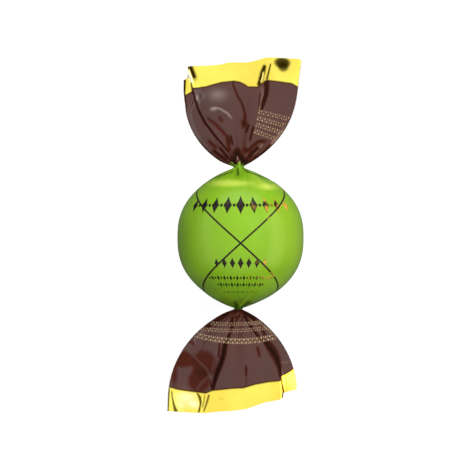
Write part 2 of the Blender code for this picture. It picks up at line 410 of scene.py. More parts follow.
BALL_LINES = (
    # creases near the necks, painted dark as painted shade, and ridges painted pale as painted
    # highlights
    Line(((-0.7, 15.5), (-0.57, 13.3)), 0.3, 0.26, -0.85, 0.2),
    Line(((0.3, 15.6), (1.43, 14.55), (3.2, 13.5)), 0.2, 0.24, -0.5, 0.15),
    Line(((1.6, 14.3), (3.86, 12.7), (6.5, 10.5)), -0.3, 0.6, 0.2, 0.2),
    Line(((3.0, 14.1), (4.6, 12.9), (5.2, 12.1)), 0.25, 0.35, -0.25, 0.2),
    Line(((-1.5, 14.6), (-3.6, 13.7), (-5.9, 12.5)), 0.15, 0.3, -0.2, 0.2),
    Line(((-1.3, -13.7), (-0.75, -15.4)), 0.25, 0.45, -0.7, 0.2),
    Line(((0.5, -15.3), (2.3, -13.9)), 0.2, 0.4, -0.65, 0.2),
    Line(((-0.5, -15.5), (0.4, -14.4), (1.9, -12.6)), -0.1, 0.16, 0.16, 0.2),
)
BALL_SPOTS = (
    # painted highlights in a band over the top of the ball, and painted shade round the necks
    Spot(-3.1, 11.8, 3.6, 0.8, -0.1, 0.74, 3.0),
    Spot(6.0, 11.0, 2.4, 0.7, -0.1, 0.7, 3.0),
    Spot(1.4, 11.7, 3.0, 0.6, 0.0, 0.4),
    Spot(-0.4, -15.4, 8.0, 2.1, 0.0, -0.5),
    Spot(-0.4, -15.7, 1.4, 0.55, 0.0, -0.9),
    Spot(-0.7, 13.6, 1.0, 1.1, 0.1, -0.25),
    # painted light and shade: the film is painted a little yellower to the right, a painted
    # highlight, and deeper to the left and below, a painted shade
    Spot(12.4, -2.0, 2.6, 9.5, 0.0, 0.13),
    Spot(7.6, -9.8, 2.4, 1.8, 0.0, 0.12),
    Spot(0.0, -7.7, 5.0, 1.5, 0.0, 0.06),
    Spot(-12.9, -2.0, 1.6, 9.0, 0.0, -0.22),
    Spot(-8.0, -10.6, 3.0, 2.0, 0.0, -0.22),
)

PRINT_HEIGHT = 0.025 * MM  # how far the print lies above the film, and under it
PRINT_EDGE = 0.955  # across a tail, up to where its small ornaments are printed
LINE_WIDTH = 0.36 * MM
LINE_REACH = 0.93  # how far towards the necks the thin lines run
LINE_POINTS = 260
CROSSING = -1.2 * MM  # where they cross, along the sweet
LINE_TURN = 80.0  # how far they go round the ball for each metre along it, in radians
LINE_CURL = 1.3e5  # how much faster they turn further from the crossing, for each cubic metre


def smooth_step(value, start, end):
    share = np.clip((value - start) / (end - start), 0.0, 1.0)
    return share * share * (3.0 - 2.0 * share)


def at_least(radius, least):
    """The radius given, but never less than the least one, joined smoothly."""
    return (radius**NECK_JOIN + least**NECK_JOIN) ** (1.0 / NECK_JOIN)


def unit(vectors):
    return vectors / np.maximum(np.linalg.norm(vectors, axis=-1, keepdims=True), 1e-12)


def across_at(path, distance):
    """How far across the sweet a path of points (x, distance from the neck) in mm lies here."""
    path_x, path_y = np.array(path).T * MM
    return np.interp(distance, path_y, path_x)


def wander(angle, seed, amount, turns=(1, 2, 3, 5)):
    """A smooth closed curve round the sweet that wanders up and down by about the amount."""
    rng = np.random.default_rng(seed)
    total = np.zeros_like(angle)
    for turn in turns:
        total = total + rng.normal() * np.sin(turn * angle + rng.uniform(0.0, math.tau))
    return amount * total / math.sqrt(len(turns))


def pleats(angle, distance, seed, levels):
    """Gathers with sharp valleys, and the painted shade that they give to the film in the valleys.

    Each level has about half as many as the one before and runs further.
    """
    warped = angle + wander(angle, seed, DRIFT) + TWIST * np.exp(-distance / TWIST_FADE)
    height = np.zeros(np.broadcast(angle, distance).shape)
    light = np.ones_like(height)
    for i, (count, depth, start, fade, tone) in enumerate(levels):
        strength = np.clip(1.0 + wander(angle, seed + 7 + i, UNEVEN, (2, 3, 5, 7)), 0.1, 2.0)
        wave = np.abs(np.sin(count * warped / 2.0 + 0.4))
        grown = 1.0 - np.exp(-distance / start) if start else 1.0
        grown = strength * grown * np.exp(-distance / fade)
        height = height + depth * grown * (wave - MEAN_WAVE)
        valley = np.exp(-((wave / VALLEY) ** 2))
        light = light * (1.0 - np.clip(tone * valley * np.minimum(1.0, 1.3 * grown), 0.0, 1.0))
    return height, light - 1.0


def near_line(x, y, points):
    """How far each place lies from a line, and which share of the line's length comes before it."""
    nearest = np.full(np.broadcast(x, y).shape, 1.0)
    before = np.zeros_like(nearest)
    lengths = [math.dist(a, b) for a, b in zip(points, points[1:])]
    done = 0.0
    for (ax, ay), (bx, by), length in zip(points, points[1:], lengths):
        share = ((x - ax) * (bx - ax) + (y - ay) * (by - ay)) / length**2
        share = np.clip(share, 0.0, 1.0)
        off = np.hypot(x - ax - share * (bx - ax), y - ay - share * (by - ay))
        closer = off < nearest
        nearest = np.where(closer, off, nearest)
        before = np.where(closer, done + share * length, before)
        done += length
    return nearest, before / sum(lengths)


def relief(lines, spots, x, y):
    """How far creases and hollows lift the film at each place, and the painted light and shade on
    them.

    That is by how much painted shade darkens it, how much a pale line hides of that, and how pale it
    gets, as wear and as painted highlights.
    """
    height = np.zeros(np.broadcast(x, y).shape)
    light, bare, pale = np.ones_like(height), np.ones_like(height), np.zeros_like(height)
    for line in lines:
        off, share = near_line(x, y, [(a * MM, b * MM) for a, b in line.points])
        strength = smooth_step(np.minimum(share, 1.0 - share), -0.02, line.taper)
        widths = np.broadcast_to(line.width, len(line.points))
        off = off / (MM * np.interp(share, np.linspace(0.0, 1.0, len(widths)), widths))
        height = height - line.depth * MM * np.exp(-off) * strength
        near = np.exp(-(off**4)) * strength
        if line.tone < 0.0:
            light = light * (1.0 + line.tone * near)
        else:
            bare = bare * (1.0 - line.pale_cover * near)
            pale = pale + line.tone * near
    for spot in spots:
        reach = np.hypot((x / MM - spot.x) / spot.across, (y / MM - spot.y) / spot.along)
        near = np.exp(-(reach**spot.power))
        height = height - spot.depth * MM * near
        light = light * (1.0 + min(0.0, spot.tone) * near)
        pale = pale + max(0.0, spot.tone) * near
    return height, light - 1.0, 1.0 - bare, pale


def toned(tone, marks, upper):
    """The tone of the film with the marks of relief() on it, where it is the upper film."""
    _, dark, pale_cover, pale = marks
    tone = (1.0 + tone) * (1.0 + dark * upper) - 1.0
    return tone * (1.0 - pale_cover * upper) + pale * upper * (1.0 + np.minimum(tone, 0.0) * (1.0 - pale_cover))


# ---- the surface


def ball_share(y):
    """How far along the ball a place lies, from -1 at the lower neck to 1 at the upper one."""
    return y / np.where(y > 0.0, UPPER_TAIL.neck, LOWER_TAIL.neck)


def ball_surface(angle, along):
    """The film round the ball and its tone of painted shade and highlights; along is its ball_share.
    """
    ends = []
    reach = np.clip(np.abs(along), 0.0, 1.0)
    for tail in (UPPER_TAIL, LOWER_TAIL):
        gathers, tone = pleats(angle, (1.0 - reach) * tail.neck, tail.seed, BALL_PLEATS)
        ends.append((tail.neck, tail.neck_radius, tail.neck_shift, gathers, tone))
    neck, least, shift, gathers, tone = (np.where(along > 0.0, *pair) for pair in zip(*ends))
    middle = shift * smooth_step(reach, 0.7, 1.0)
    radius = at_least(BALL_RADIUS * (1.0 - reach**SHOULDER_POWER) ** SHOULDER_EDGE, least)
    radius = radius + gathers
    x = middle + radius * np.cos(angle)
    y = along * neck + 0.0 * x
    marks = relief(BALL_LINES, BALL_SPOTS, x, y)
    facing = smooth_step(np.sin(angle), 0.0, 0.3)
    radius = radius + marks[0] * facing
    x = middle + radius * np.cos(angle)
    z = AXIS_HEIGHT + radius * np.sin(angle)
    return np.stack((x, y, np.maximum(z, 0.0)), axis=-1), toned(tone, marks, facing)


def tail_length(tail, place):
    length = tail.length + tail.slant * ((1.0 + place) / 2.0) ** tail.slant_power
    for at, slide in tail.slides:
        length = length + slide * smooth_step(place, at - SLIDE_WIDTH, at + SLIDE_WIDTH)
    return length


def tail_spread(tail, distance):
    """How far a tail has opened, from 0 at its neck to 1."""
    opened = np.clip(distance / tail.flare, 0.0, 1.0)
    return 1.0 - (1.0 - opened) ** SPREAD_POWER


def tail_half_width(tail, distance):
    spread = tail_spread(tail, distance) ** tail.flare_power
    return at_least(tail.half_width * spread, tail.neck_radius)


def tail_side(tail, share):
    """Where the middle of a tail lies across the sweet."""
    kink = np.exp(-share / KINK_FADE) * (1.0 - np.exp(-share / KINK_GROWTH))
    return tail.neck_shift + tail.lean * share**tail.lean_power + tail.kink * kink


def tucked(tail, place, angle, distance, side, half_width):
    """How far a tuck pulls the film sideways, and how far it lifts it."""
    tuck = tail.tuck
    if tuck is None:
        return 0.0, 0.0
    grown = smooth_step(distance, tuck.start, tuck.full)
    pull = across_at(tuck.path, distance) - side - half_width * tuck.place
    edge_pull = across_at(tuck.edge, distance) - side + half_width
    strip = np.clip((place + 1.0) / (tuck.place + 1.0), 0.0, 1.0)
    rest = 1.0 - smooth_step(place, tuck.place, tuck.reach)
    turn = np.clip((place - tuck.place) * half_width / tuck.width, -1.0, 1.0)
    above = np.sin(angle) > 0.0
    shift = edge_pull + (pull * rest - edge_pull) * np.where(above, strip, 1.0 - rest)
    return grown * shift, grown * 0.5 * tuck.drop * np.sin(math.pi / 2.0 * turn) * rest


def folded(tail, across, distance):
    """How far the long folds lift the upper film of a tail."""
    lift = 0.0
    for fold in tail.folds:
        turn = np.clip((across - across_at(fold.path, distance)) / fold.width, -1.0, 1.0)
        left = 1.0 - (1.0 - fold.at_rim) * smooth_step(distance, fold.fade, fold.fade + FOLD_FADE)
        left = left * smooth_step(distance, fold.start, fold.start + FOLD_GROWTH)
        lift = lift - 0.5 * fold.drop * np.sin(math.pi / 2.0 * turn) * left
    return lift


def underside_waves(tail, place, distance):
    """Long soft waves of the film on the underside of a tail."""
    waves = np.sin(8.0 * place + tail.seed + 60.0 * distance)
    waves = waves + 0.6 * np.sin(17.0 * place + 2.0 * tail.seed - 90.0 * distance)
    return WAVE_HEIGHT * waves * smooth_step(distance, WAVES_START, WAVES_FULL)


def tail_shade(place, distance):
    """How light a tail is painted beside its rolled side edges and its neck, from 0 to 1: a painted
    shade.
    """
    start = SIDE_SHADE - NECK_SIDE_SHADE * np.exp(-distance / NECK_SIDE_FADE)
    edge = smooth_step(np.abs(place), start, 1.0) * smooth_step(distance, *SIDE_START)
    neck = np.exp(-((distance / NECK_SHADE) ** 2))
    return (1.0 + SIDE_TONE * edge) * (1.0 + NECK_TONE * neck)


def tail_surface(tail, angle, distance):
    """The film of a tail at this distance from its neck, and its tone of painted shade and
    highlights.
    """
    place = np.cos(angle)
    share = distance / tail_length(tail, place)
    half_width = tail_half_width(tail, distance)
    half_depth = tail.half_depth * np.sqrt(tail_spread(tail, distance))
    half_depth = at_least(half_depth, tail.neck_radius)
    flat = smooth_step(distance, 0.0, FLATTENED)
    lens = np.copysign(1.0 - np.abs(place) ** LENS_POWER, np.sin(angle))
    section = (1.0 - flat) * np.sin(angle) + flat * lens
    side = tail_side(tail, share)
    middle = AXIS_HEIGHT - tail.droop * share**2
    pull, tuck_lift = tucked(tail, place, angle, distance, side, half_width)
    across = side + half_width * place + pull
    marks = relief(tail.lines, tail.spots, across, distance)
    lift = marks[0] + folded(tail, across, distance)
    facing = np.clip(FOLD_EDGE * section, 0.0, 1.0)
    below = np.clip(-FOLD_EDGE * section, 0.0, 1.0)
    gathers, gather_tone = pleats(angle, distance, tail.seed, TAIL_PLEATS)
    x = across + gathers * (1.0 - flat) * np.cos(angle)
    y = tail.end * (tail.neck + distance) + 0.0 * x
    z = middle + half_depth * section + facing * lift + tuck_lift + gathers * np.sin(angle)
    z = z + below * underside_waves(tail, place, distance)
    upper = smooth_step(np.sin(angle), -0.05, 0.1)
    tone = (1.0 + gather_tone) * tail_shade(place, distance) - 1.0
    return np.stack((x, y, z), axis=-1), toned(tone, marks, upper)


def column_angles():
    """The angles of the grid's columns, closer together on the upper side and where it folds."""
    fine = np.linspace(0.0, math.tau, FINE_STEPS, endpoint=False)
    upper = np.sin(fine) > 0.0
    crowd = (0.4 + 0.6 * np.abs(np.sin(fine))) * np.where(upper, 1.0, 0.55)
    for at in (UPPER_TAIL.tuck.place, *FOLD_PLACES):
        crowd += 0.9 * np.exp(-(((np.cos(fine) - at) / FOLD_CROWD) ** 2)) * upper
    total = np.concatenate(((0.0,), np.cumsum(crowd)))
    steps = np.linspace(0.0, total[-1], COLUMNS, endpoint=False)
    return np.interp(steps, total[:-1], fine)


def green_edge(tail, angle):
    """How far past the neck the green print ends, in points in the middle of the gathers."""
    warped = angle + wander(angle, tail.seed, DRIFT)
    points = np.abs(np.sin(GREEN_POINTS / 2.0 * warped + 0.3)) ** 1.5
    return tail.green_end + tail.spikes * points * np.sin(angle) ** 2


def place_at(tail, x, distance):
    """Where across a tail, from -1 to 1, the film lies at x."""
    place = np.zeros_like(x)
    for _ in range(4):
        side = tail_side(tail, distance / tail_length(tail, place))
        place = np.clip((x - side) / tail_half_width(tail, distance), -1.0, 1.0)
    return place


def print_edge(tail, angle, points, under, strip):
    """How far from the neck an edge lies: along the points above, and plain on the underside.

    On the strip of a tuck it runs straight, from the left edge to the fold.
    """
    place = np.cos(angle)
    edge_x, edge_y = np.array(points).T * MM
    above = np.interp(place, place_at(tail, edge_x, edge_y), edge_y)
    if tail.tuck:
        share = (place + 1.0) / (tail.tuck.place + 1.0)
        straight = strip[0] + (strip[1] - strip[0]) * share
        above = np.where(place < tail.tuck.place, straight, above)
    upper = smooth_step(np.sin(angle), -0.12, 0.04)
    return upper * above + (1.0 - upper) * under


def tail_rows(tail, angle):
    """The rows of a tail from its neck to its rim: first the green ones, then brown and gold."""
    plain = tail_length(tail, np.cos(angle)) - UNDER_RIM
    tuck = tail.tuck
    rim = print_edge(tail, angle, tail.rim, plain, tuck and tuck.rim)
    gold = print_edge(tail, angle, tail.band, plain - RIM_BAND, tuck and tuck.band)
    green = green_edge(tail, angle)
    rows = [tail_surface(tail, angle, green * k / GREEN_ROWS) for k in range(1, GREEN_ROWS)]
    shares = (np.arange(BROWN_ROWS + 1) / BROWN_ROWS) ** ROW_CROWDING
    distances = [green + (gold - green) * share for share in shares]
    distances += [gold + (rim - gold) * k / GOLD_ROWS for k in range(1, GOLD_ROWS + 1)]
    for distance in distances:
        surface, tone = tail_surface(tail, angle, distance)
        outline = EDGE_TONE * np.exp(-(((distance - gold) / EDGE_WIDTH) ** 2))
        rows.append((surface, (1.0 + tone) * (1.0 + outline) - 1.0))
    return rows


def film_grid():
    """The whole film, row by row from the upper rim to the lower one, and where each colour ends."""
    angle = column_angles()
    rows = tail_rows(UPPER_TAIL, angle)[::-1]
    for row in range(BALL_ROWS + 1):
        along = math.cos(math.pi * row / BALL_ROWS)
        rows.append(ball_surface(angle, np.full_like(angle, along)))
    rows += tail_rows(LOWER_TAIL, angle)
    last = len(rows) - 1
    from_rim = (GOLD_ROWS, GOLD_ROWS + BROWN_ROWS)
    ends = (*from_rim, last - from_rim[1], last - from_rim[0], last)
    points, tones = (np.array(part) for part in zip(*rows))
    return points, tones, ends


def grid_normals(points):
    """The outward direction at each point of the grid."""
    around = np.roll(points, -1, axis=1) - np.roll(points, 1, axis=1)
    return unit(np.cross(around, np.gradient(points, axis=0)))


# ---- making pieces


def add_piece(name, verts, faces, materials, normals=None, kinds=None, tones=None):
    """A piece of the sweet, which rides on the one body."""
    mesh = bpy.data.meshes.new(name)
    mesh.from_pydata(verts, [], faces)
    for material in materials:
        mesh.materials.append(material)
    if kinds is not None:
        mesh.polygons.foreach_set("material_index", kinds)
    if tones is not None:
        # the crease tone carries painted shade, painted highlights and painted dark reflections, and
        # wear
        mesh.attributes.new("painted_shade_highlight_wear", "FLOAT", "POINT").data.foreach_set("value", tones)
    mesh.shade_smooth()
    if normals is not None:
        mesh.normals_split_custom_set_from_vertices(normals)
    piece = bpy.data.objects.new(name, mesh)
    bpy.context.scene.collection.objects.link(piece)
    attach(piece, "root")
    return piece


def join_rows(upper, lower):
    """The quads between two closed rows of vertices."""
    return list(zip(upper, upper[1:] + upper[:1], lower[1:] + lower[:1], lower))


def grid_faces(rows, columns, start=0):
    """The quads of a grid whose vertices are numbered row by row, and its first and last row."""
    turns = [list(range(start + k * columns, start + (k + 1) * columns)) for k in range(rows)]
    faces = [quad for upper, lower in zip(turns, turns[1:]) for quad in join_rows(upper, lower)]
    return faces, turns[0], turns[-1]


def film_shell(name, points, normals, tones, material, inside):
    """A band of film with its thickness: its outer and inner faces and its two cut edges."""
    rows, columns = points.shape[:2]
    count = rows * columns
    outer, outer_first, outer_last = grid_faces(rows, columns)
    inner, inner_first, inner_last = grid_faces(rows, columns, start=count)
    edges = join_rows(inner_first, outer_first) + join_rows(outer_last, inner_last)
    faces = outer + [quad[::-1] for quad in inner] + edges
    kinds = [0] * len(outer) + [1] * len(inner) + [0] * len(edges)
    verts = np.concatenate((points, points - normals * FILM)).reshape(-1, 3).tolist()
    directions = np.concatenate((normals, -normals)).reshape(-1, 3).tolist()
    tones = np.concatenate((tones.reshape(-1), np.zeros(count)))
    add_piece(name, verts, faces, (material, inside), directions, kinds, tones)


def ball_film(points, normals, tones, material):
    """The green film over the ball, closed in the middle of each neck."""
    rows, columns = points.shape[:2]
    verts = points.reshape(-1, 3).tolist()
    directions = normals.reshape(-1, 3).tolist()
    tones = tones.reshape(-1).tolist() + [0.0, 0.0]
    faces, first, last = grid_faces(rows, columns)
    for turn, row, way in ((first[::-1], 0, 1.0), (last, -1, -1.0)):
        faces += [(a, b, len(verts)) for a, b in zip(turn, turn[1:] + turn[:1])]
        verts.append(points[row].mean(axis=0).tolist())
        directions.append((0.0, way, 0.0))
    return add_piece(
        "green_film", verts, faces, (material,), directions, tones=tones
    )


# ---- the print


def ball_spot(side, along):
    """A place on the ball's film, side radians to the right of its upper line, and its normal."""
    small = 1e-4
    angle = math.pi / 2.0 - side
    here = ball_surface(angle, along)[0]
    towards = ball_surface(angle, along + small)[0] - here
    across = ball_surface(angle - small, along)[0] - here
    return here, unit(np.cross(across, towards))


def tail_spot(tail, x, distance):
    """A place on the upper film of a tail, given across the sweet and from the neck."""
    small = 1e-5

    def film_at(x, distance):
        return tail_surface(tail, np.arccos(place_at(tail, x, distance)), distance)[0]

    here = film_at(x, distance)
    across = film_at(x + small, distance) - here
    away = film_at(x, distance + small) - here
    return here, unit(np.cross(across, away)) * tail.end


def ribbon(verts, faces, points, normals):
    """Adds a printed line through the points, as a thin closed strip on the film."""
    side = unit(np.cross(np.gradient(points, axis=0), normals)) * LINE_WIDTH / 2.0
    lift = normals * PRINT_HEIGHT
    corners = (points - side + lift, points + side + lift, points + side - lift, points - side - lift)
    quads, first, last = grid_faces(len(points), 4, start=len(verts))
    verts.extend(np.stack(corners, axis=1).reshape(-1, 3).tolist())
    faces.extend(quads + [first[::-1], last])


def crossed_lines(material):
    """Thin lines that run slantwise round the ball and cross on its upper and its lower side."""
    verts, faces = [], []
    y = np.linspace(-LINE_REACH * LOWER_TAIL.neck, LINE_REACH * UPPER_TAIL.neck, LINE_POINTS)
    along = ball_share(y)
    line, _ = ball_spot(math.pi, along)
    steps = np.linalg.norm(np.diff(line, axis=0), axis=1)
    arc = np.concatenate(((0.0,), np.cumsum(steps)))
    arc = arc - np.interp(CROSSING, y, arc)
    turn = LINE_TURN * arc + LINE_CURL * arc**3
    for start in (0.0, math.pi):
        for way in (1.0, -1.0):
            ribbon(verts, faces, *ball_spot(start + way * turn, along))
    add_piece("crossed_lines", verts, faces, (material,))


def tile(verts, faces, outline, place_on, rings=3):
    """Adds a small printed shape that follows the film, as a thin closed tile."""
    count = len(outline)
    flat = [(x * k / rings, y * k / rings) for k in range(1, rings + 1) for x, y in outline]
    points, normals = place_on(np.array([(0.0, 0.0)] + flat))
    outer_rings = []
    for side in (1, -1):
        middle = len(verts)
        verts.extend((points + side * normals * PRINT_HEIGHT).tolist())
        quads, first, last = grid_faces(rings, count, start=middle + 1)
        fan = [(a, b, middle) for a, b in zip(first, first[1:] + first[:1])]
        faces.extend(face[::-side] for face in quads)
        faces.extend(face[::side] for face in fan)
        outer_rings.append(last)
    faces.extend(join_rows(*outer_rings[::-1]))


def lozenge(width, height, steps=4):
    """A lozenge with sides that curve in a little, anticlockwise."""
    corners = ((width / 2, 0.0), (0.0, height / 2), (-width / 2, 0.0), (0.0, -height / 2))
    points = []
    for (ax, ay), (bx, by) in zip(corners, corners[1:] + corners[:1]):
        for k in range(steps):
            t = k / steps
            pull = 1.0 - 0.35 * t * (1.0 - t)
            points.append(((ax + (bx - ax) * t) * pull, (ay + (by - ay) * t) * pull))
    return points


def disc(radius, steps=12):
    return [
        (radius * math.cos(math.tau * k / steps), radius * math.sin(math.tau * k / steps))
        for k in range(steps)
    ]


def on_ball(x, y):
    """Places a flat shape on the ball, with its middle x round the film and y along the sweet."""

    def place_on(flat):
        return ball_spot((x + flat[:, 0]) / BALL_RADIUS, ball_share(y + flat[:, 1]))

    return place_on


def on_tail(tail, x, distance, turn):
    """Places a flat shape on the upper film of a tail, turned by an angle."""
    cos, sin = math.cos(turn), math.sin(turn)

    def place_on(flat):
        right = flat[:, 0] * cos - flat[:, 1] * sin
        up = flat[:, 0] * sin + flat[:, 1] * cos
        return tail_spot(tail, x + right, distance + tail.end * up)

    return place_on


def ball_ornament(material):
    """A band of lozenges and beads over the ball, a short one under the crossing, and bead rows."""
    verts, faces = [], []
    band = 6.9 * MM
    for k in range(-4, 5):
        size = 1.0 - 0.06 * abs(k)
        shape = lozenge(2.2 * MM * size, 3.9 * MM * size)
        tile(verts, faces, shape, on_ball(3.1 * MM * k, band))
        if k < 4:
            tile(verts, faces, disc(0.34 * MM), on_ball(3.1 * MM * (k + 0.5), band), 2)
    for k in range(-3, 4):
        size = 1.0 - 0.08 * abs(k)
        shape = lozenge(1.35 * MM * size, 2.5 * MM * size)
        tile(verts, faces, shape, on_ball(1.85 * MM * k, -5.4 * MM))
    for row, half, size in ((-8.6 * MM, 10, 1.15), (-10.1 * MM, 8, 1.15), (-11.7 * MM, 7, 0.6)):
        for k in range(-half, half + 1):
            shape = lozenge(0.6 * size * MM, size * MM, 2) if k % 2 else disc(0.2 * size * MM, 10)
            tile(verts, faces, shape, on_ball(0.85 * MM * k, row), 2)
    add_piece("ball_ornament", verts, faces, (material,))


def ornament_row(verts, faces, tail, start, end, step, size, bow=0.0):
    """Adds a row of tiny lozenges and beads on a tail, from one point in mm to the other.

    They lie by turns above and below the middle of the row.
    """
    (ax, ay), (bx, by) = start, end
    count = max(1, round(math.hypot(bx - ax, by - ay) / step))
    turn = tail.end * math.atan2(by - ay, bx - ax)
    shapes = (
        (lozenge(0.36 * size * MM, 0.6 * size * MM, 2), 0.21 * size),
        (disc(0.11 * size * MM, 8), -0.3 * size),
    )
    for k in range(count + 1):
        t = k / count
        x = ax + (bx - ax) * t
        distance = ay + (by - ay) * t + bow * 4.0 * t * (1.0 - t)
        lean = turn + tail.end * math.atan(bow * 4.0 * (1.0 - 2.0 * t) / max(1e-6, bx - ax))
        for shape, up in shapes:
            up = up if k % 2 else -up
            at_x = (x - up * math.sin(lean)) * MM
            at_distance = (distance + tail.end * up * math.cos(lean)) * MM
            if abs(place_at(tail, np.array(at_x), at_distance)) < PRINT_EDGE:
                tile(verts, faces, shape, on_tail(tail, at_x, at_distance, lean), 1)


def tail_ornaments(material):
    """Rows of tiny lozenges on the brown film: a slanted block above, an arched band below."""
    block = [
        ((4.1 - 0.3 * k, 12.0 - 1.42 * k), (11.6 - 1.3 * k, 10.4 - 1.42 * k), 0.5, 1.2)
        for k in range(4)
    ]
    arch = (
        ((-6.4, 3.1), (4.6, 2.9), 0.4, 0.95, 0.3),
        ((-8.6, 4.4), (6.4, 4.1), 0.4, 1.0, 0.4),
        ((-10.4, 5.6), (9.4, 5.7), 0.48, 1.5, 1.3),
    )
    for name, tail, rows in (("upper", UPPER_TAIL, block), ("lower", LOWER_TAIL, arch)):
        verts, faces = [], []
        for row in rows:
            ornament_row(verts, faces, tail, *row)
        add_piece(name + "_tail_ornament", verts, faces, (material,))


# ---- materials


def fill(tree, node, inputs):
    """Gives inputs of a node a number, a colour, or another node's output to link to."""
    for name, value in inputs.items():
        if isinstance(value, bpy.types.NodeSocket):
            tree.links.new(value, node.inputs[name])
        elif isinstance(value, tuple):
            node.inputs[name].default_value = (*value, 1.0)
        else:
            node.inputs[name].default_value = value
    return node


def add_node(tree, kind, inputs, operation=None):
    """A new shader node of this kind, with its inputs filled."""
    node = tree.nodes.new("ShaderNode" + kind)
    if operation:
        node.operation = operation
    return fill(tree, node, inputs)


def add_range(tree, value, source, target=(0.0, 1.0)):
    """The value, taken from one range to another and no further."""
    names = ("Value", "From Min", "From Max", "To Min", "To Max")
    inputs = dict(zip(names, (value, *source, *target)))
    return add_node(tree, "MapRange", inputs).outputs["Result"]


def mixed(tree, factor, first, second):
    """A colour between two others, each a colour or a socket."""
    node = tree.nodes.new("ShaderNodeMix")
    node.data_type = "RGBA"
    return fill(tree, node, {"Factor": factor, "A": first, "B": second}).outputs["Result"]


def new_group(name, inputs, outputs):
    """A new shader node group with number sockets, what it is given, and its output node."""
    group = bpy.data.node_groups.new(name, "ShaderNodeTree")
    for way, labels in (("INPUT", inputs), ("OUTPUT", outputs)):
        for label in labels:
            group.interface.new_socket(label, in_out=way, socket_type="NodeSocketFloat")
    given = group.nodes.new("NodeGroupInput").outputs
    return group, given, group.nodes.new("NodeGroupOutput")


def use_group(tree, group, inputs):
    """The outputs of a new node that holds the group."""
    node = tree.nodes.new("ShaderNodeGroup")
    node.node_tree = group
    return fill(tree, node, inputs).outputs


def film_crinkle_group():
    """Fine crinkles of thin film: its height, where it is scuffed, and slow changes over it."""
    group, given, result = new_group(
        "film_crinkle", ("Scale", "Stretch", "Sharpness"), ("Height", "Scuff", "Cloud")
    )
    here = group.nodes.new("ShaderNodeTexCoord").outputs["Object"]
    ratio = add_node(group, "CombineXYZ", {"X": 1.0, "Y": given["Stretch"], "Z": 1.0}).outputs[0]
    here = add_node(group, "VectorMath", {0: here, 1: ratio}, "MULTIPLY").outputs[0]
    here = add_node(group, "VectorMath", {0: here, "Scale": given["Scale"]}, "SCALE").outputs[0]
    soft = add_node(group, "TexNoise", {"Vector": here, "Scale": 120.0, "Detail": 2.0})
    scuff = add_node(group, "TexNoise", {"Vector": here, "Scale": 420.0, "Detail": 5.0})
    cells = add_node(group, "TexVoronoi", {"Vector": here, "Scale": 170.0})
    cells.feature = "DISTANCE_TO_EDGE"
    edge = add_node(group, "Math", {0: cells.outputs["Distance"], 1: 0.12}, "MINIMUM").outputs[0]
    sharp = add_node(group, "Math", {0: edge, 1: given["Sharpness"]}, "MULTIPLY").outputs[0]
    cloud = soft.outputs["Fac"]
    height = add_node(group, "Math", {0: cloud, 1: sharp}, "ADD").outputs[0]
    fill(group, result, {"Height": height, "Scuff": scuff.outputs["Fac"], "Cloud": cloud})
    return group


def painted_shade_highlight_group():
    """Painted light and shade along the film's creases: where it is painted dark, where it is pale as
    wear and as painted highlights, and how much gloss it keeps; gloss taken off is a painted dark
    reflection.
    """
    group, given, result = new_group("painted_shade_highlight_wear", ("Dark Start",), ("Dark", "Pale", "Gloss"))
    attribute = group.nodes.new("ShaderNodeAttribute")
    attribute.attribute_name = "painted_shade_highlight_wear"
    tone = attribute.outputs["Fac"]
    fill(group, result, {
        "Dark": add_range(group, tone, (given["Dark Start"], -1.0)),
        "Pale": add_range(group, tone, (0.0, 1.0)),
        "Gloss": add_range(group, tone, (-0.42, 0.0)),
    })
    return group


@dataclass
class Finish:
    """How one print or foil looks."""

    light: tuple  # its colour, which varies between the light and the deep one
    deep: tuple
    roughness: tuple
    crinkle: tuple  # scale, stretch along the sweet, sharpness, height in metres
    dark: tuple = (0.0, 0.0, 0.0)  # painted shade in a sharp crease, and painted dark reflections
    pale: tuple = (1.0, 1.0, 1.0)  # where it is worn, and painted highlights
    dark_start: float = 0.0
    metallic: float = 0.0
    specular: float = 0.5
    coat: float = 0.0  # the index of a glossy coat, where there is one


def film_material(name, groups, finish, creased=True):
    """Printed film: a colour that varies, fine crinkles, creases with painted shade, painted
    highlights and painted dark reflections, and a gloss that scuffs dull.
    """
    material = bpy.data.materials.new(name)
    material.use_nodes = True
    tree = material.node_tree
    film = use_group(tree, groups[0], dict(zip(("Scale", "Stretch", "Sharpness"), finish.crinkle)))
    colour = mixed(tree, add_range(tree, film["Cloud"], (0.3, 0.7)), finish.deep, finish.light)
    inputs = {"Metallic": finish.metallic, "Specular IOR Level": finish.specular}
    if creased:
        tone = use_group(tree, groups[1], {"Dark Start": finish.dark_start})
        colour = mixed(tree, tone["Dark"], colour, finish.dark)
        colour = mixed(tree, tone["Pale"], colour, finish.pale)
        if finish.coat:
            # the coat is taken off where the tone is dark: a painted dark reflection
            inputs |= {"Coat IOR": finish.coat, "Coat Roughness": 0.09, "Coat Weight": tone["Gloss"]}
    inputs["Base Color"] = colour
    inputs["Roughness"] = add_range(tree, film["Scuff"], (0.35, 0.75), finish.roughness)
    bump = {"Strength": 1.0, "Distance": finish.crinkle[3], "Height": film["Height"]}
    inputs["Normal"] = add_node(tree, "Bump", bump).outputs["Normal"]
    fill(tree, tree.nodes["Principled BSDF"], inputs)
    return material


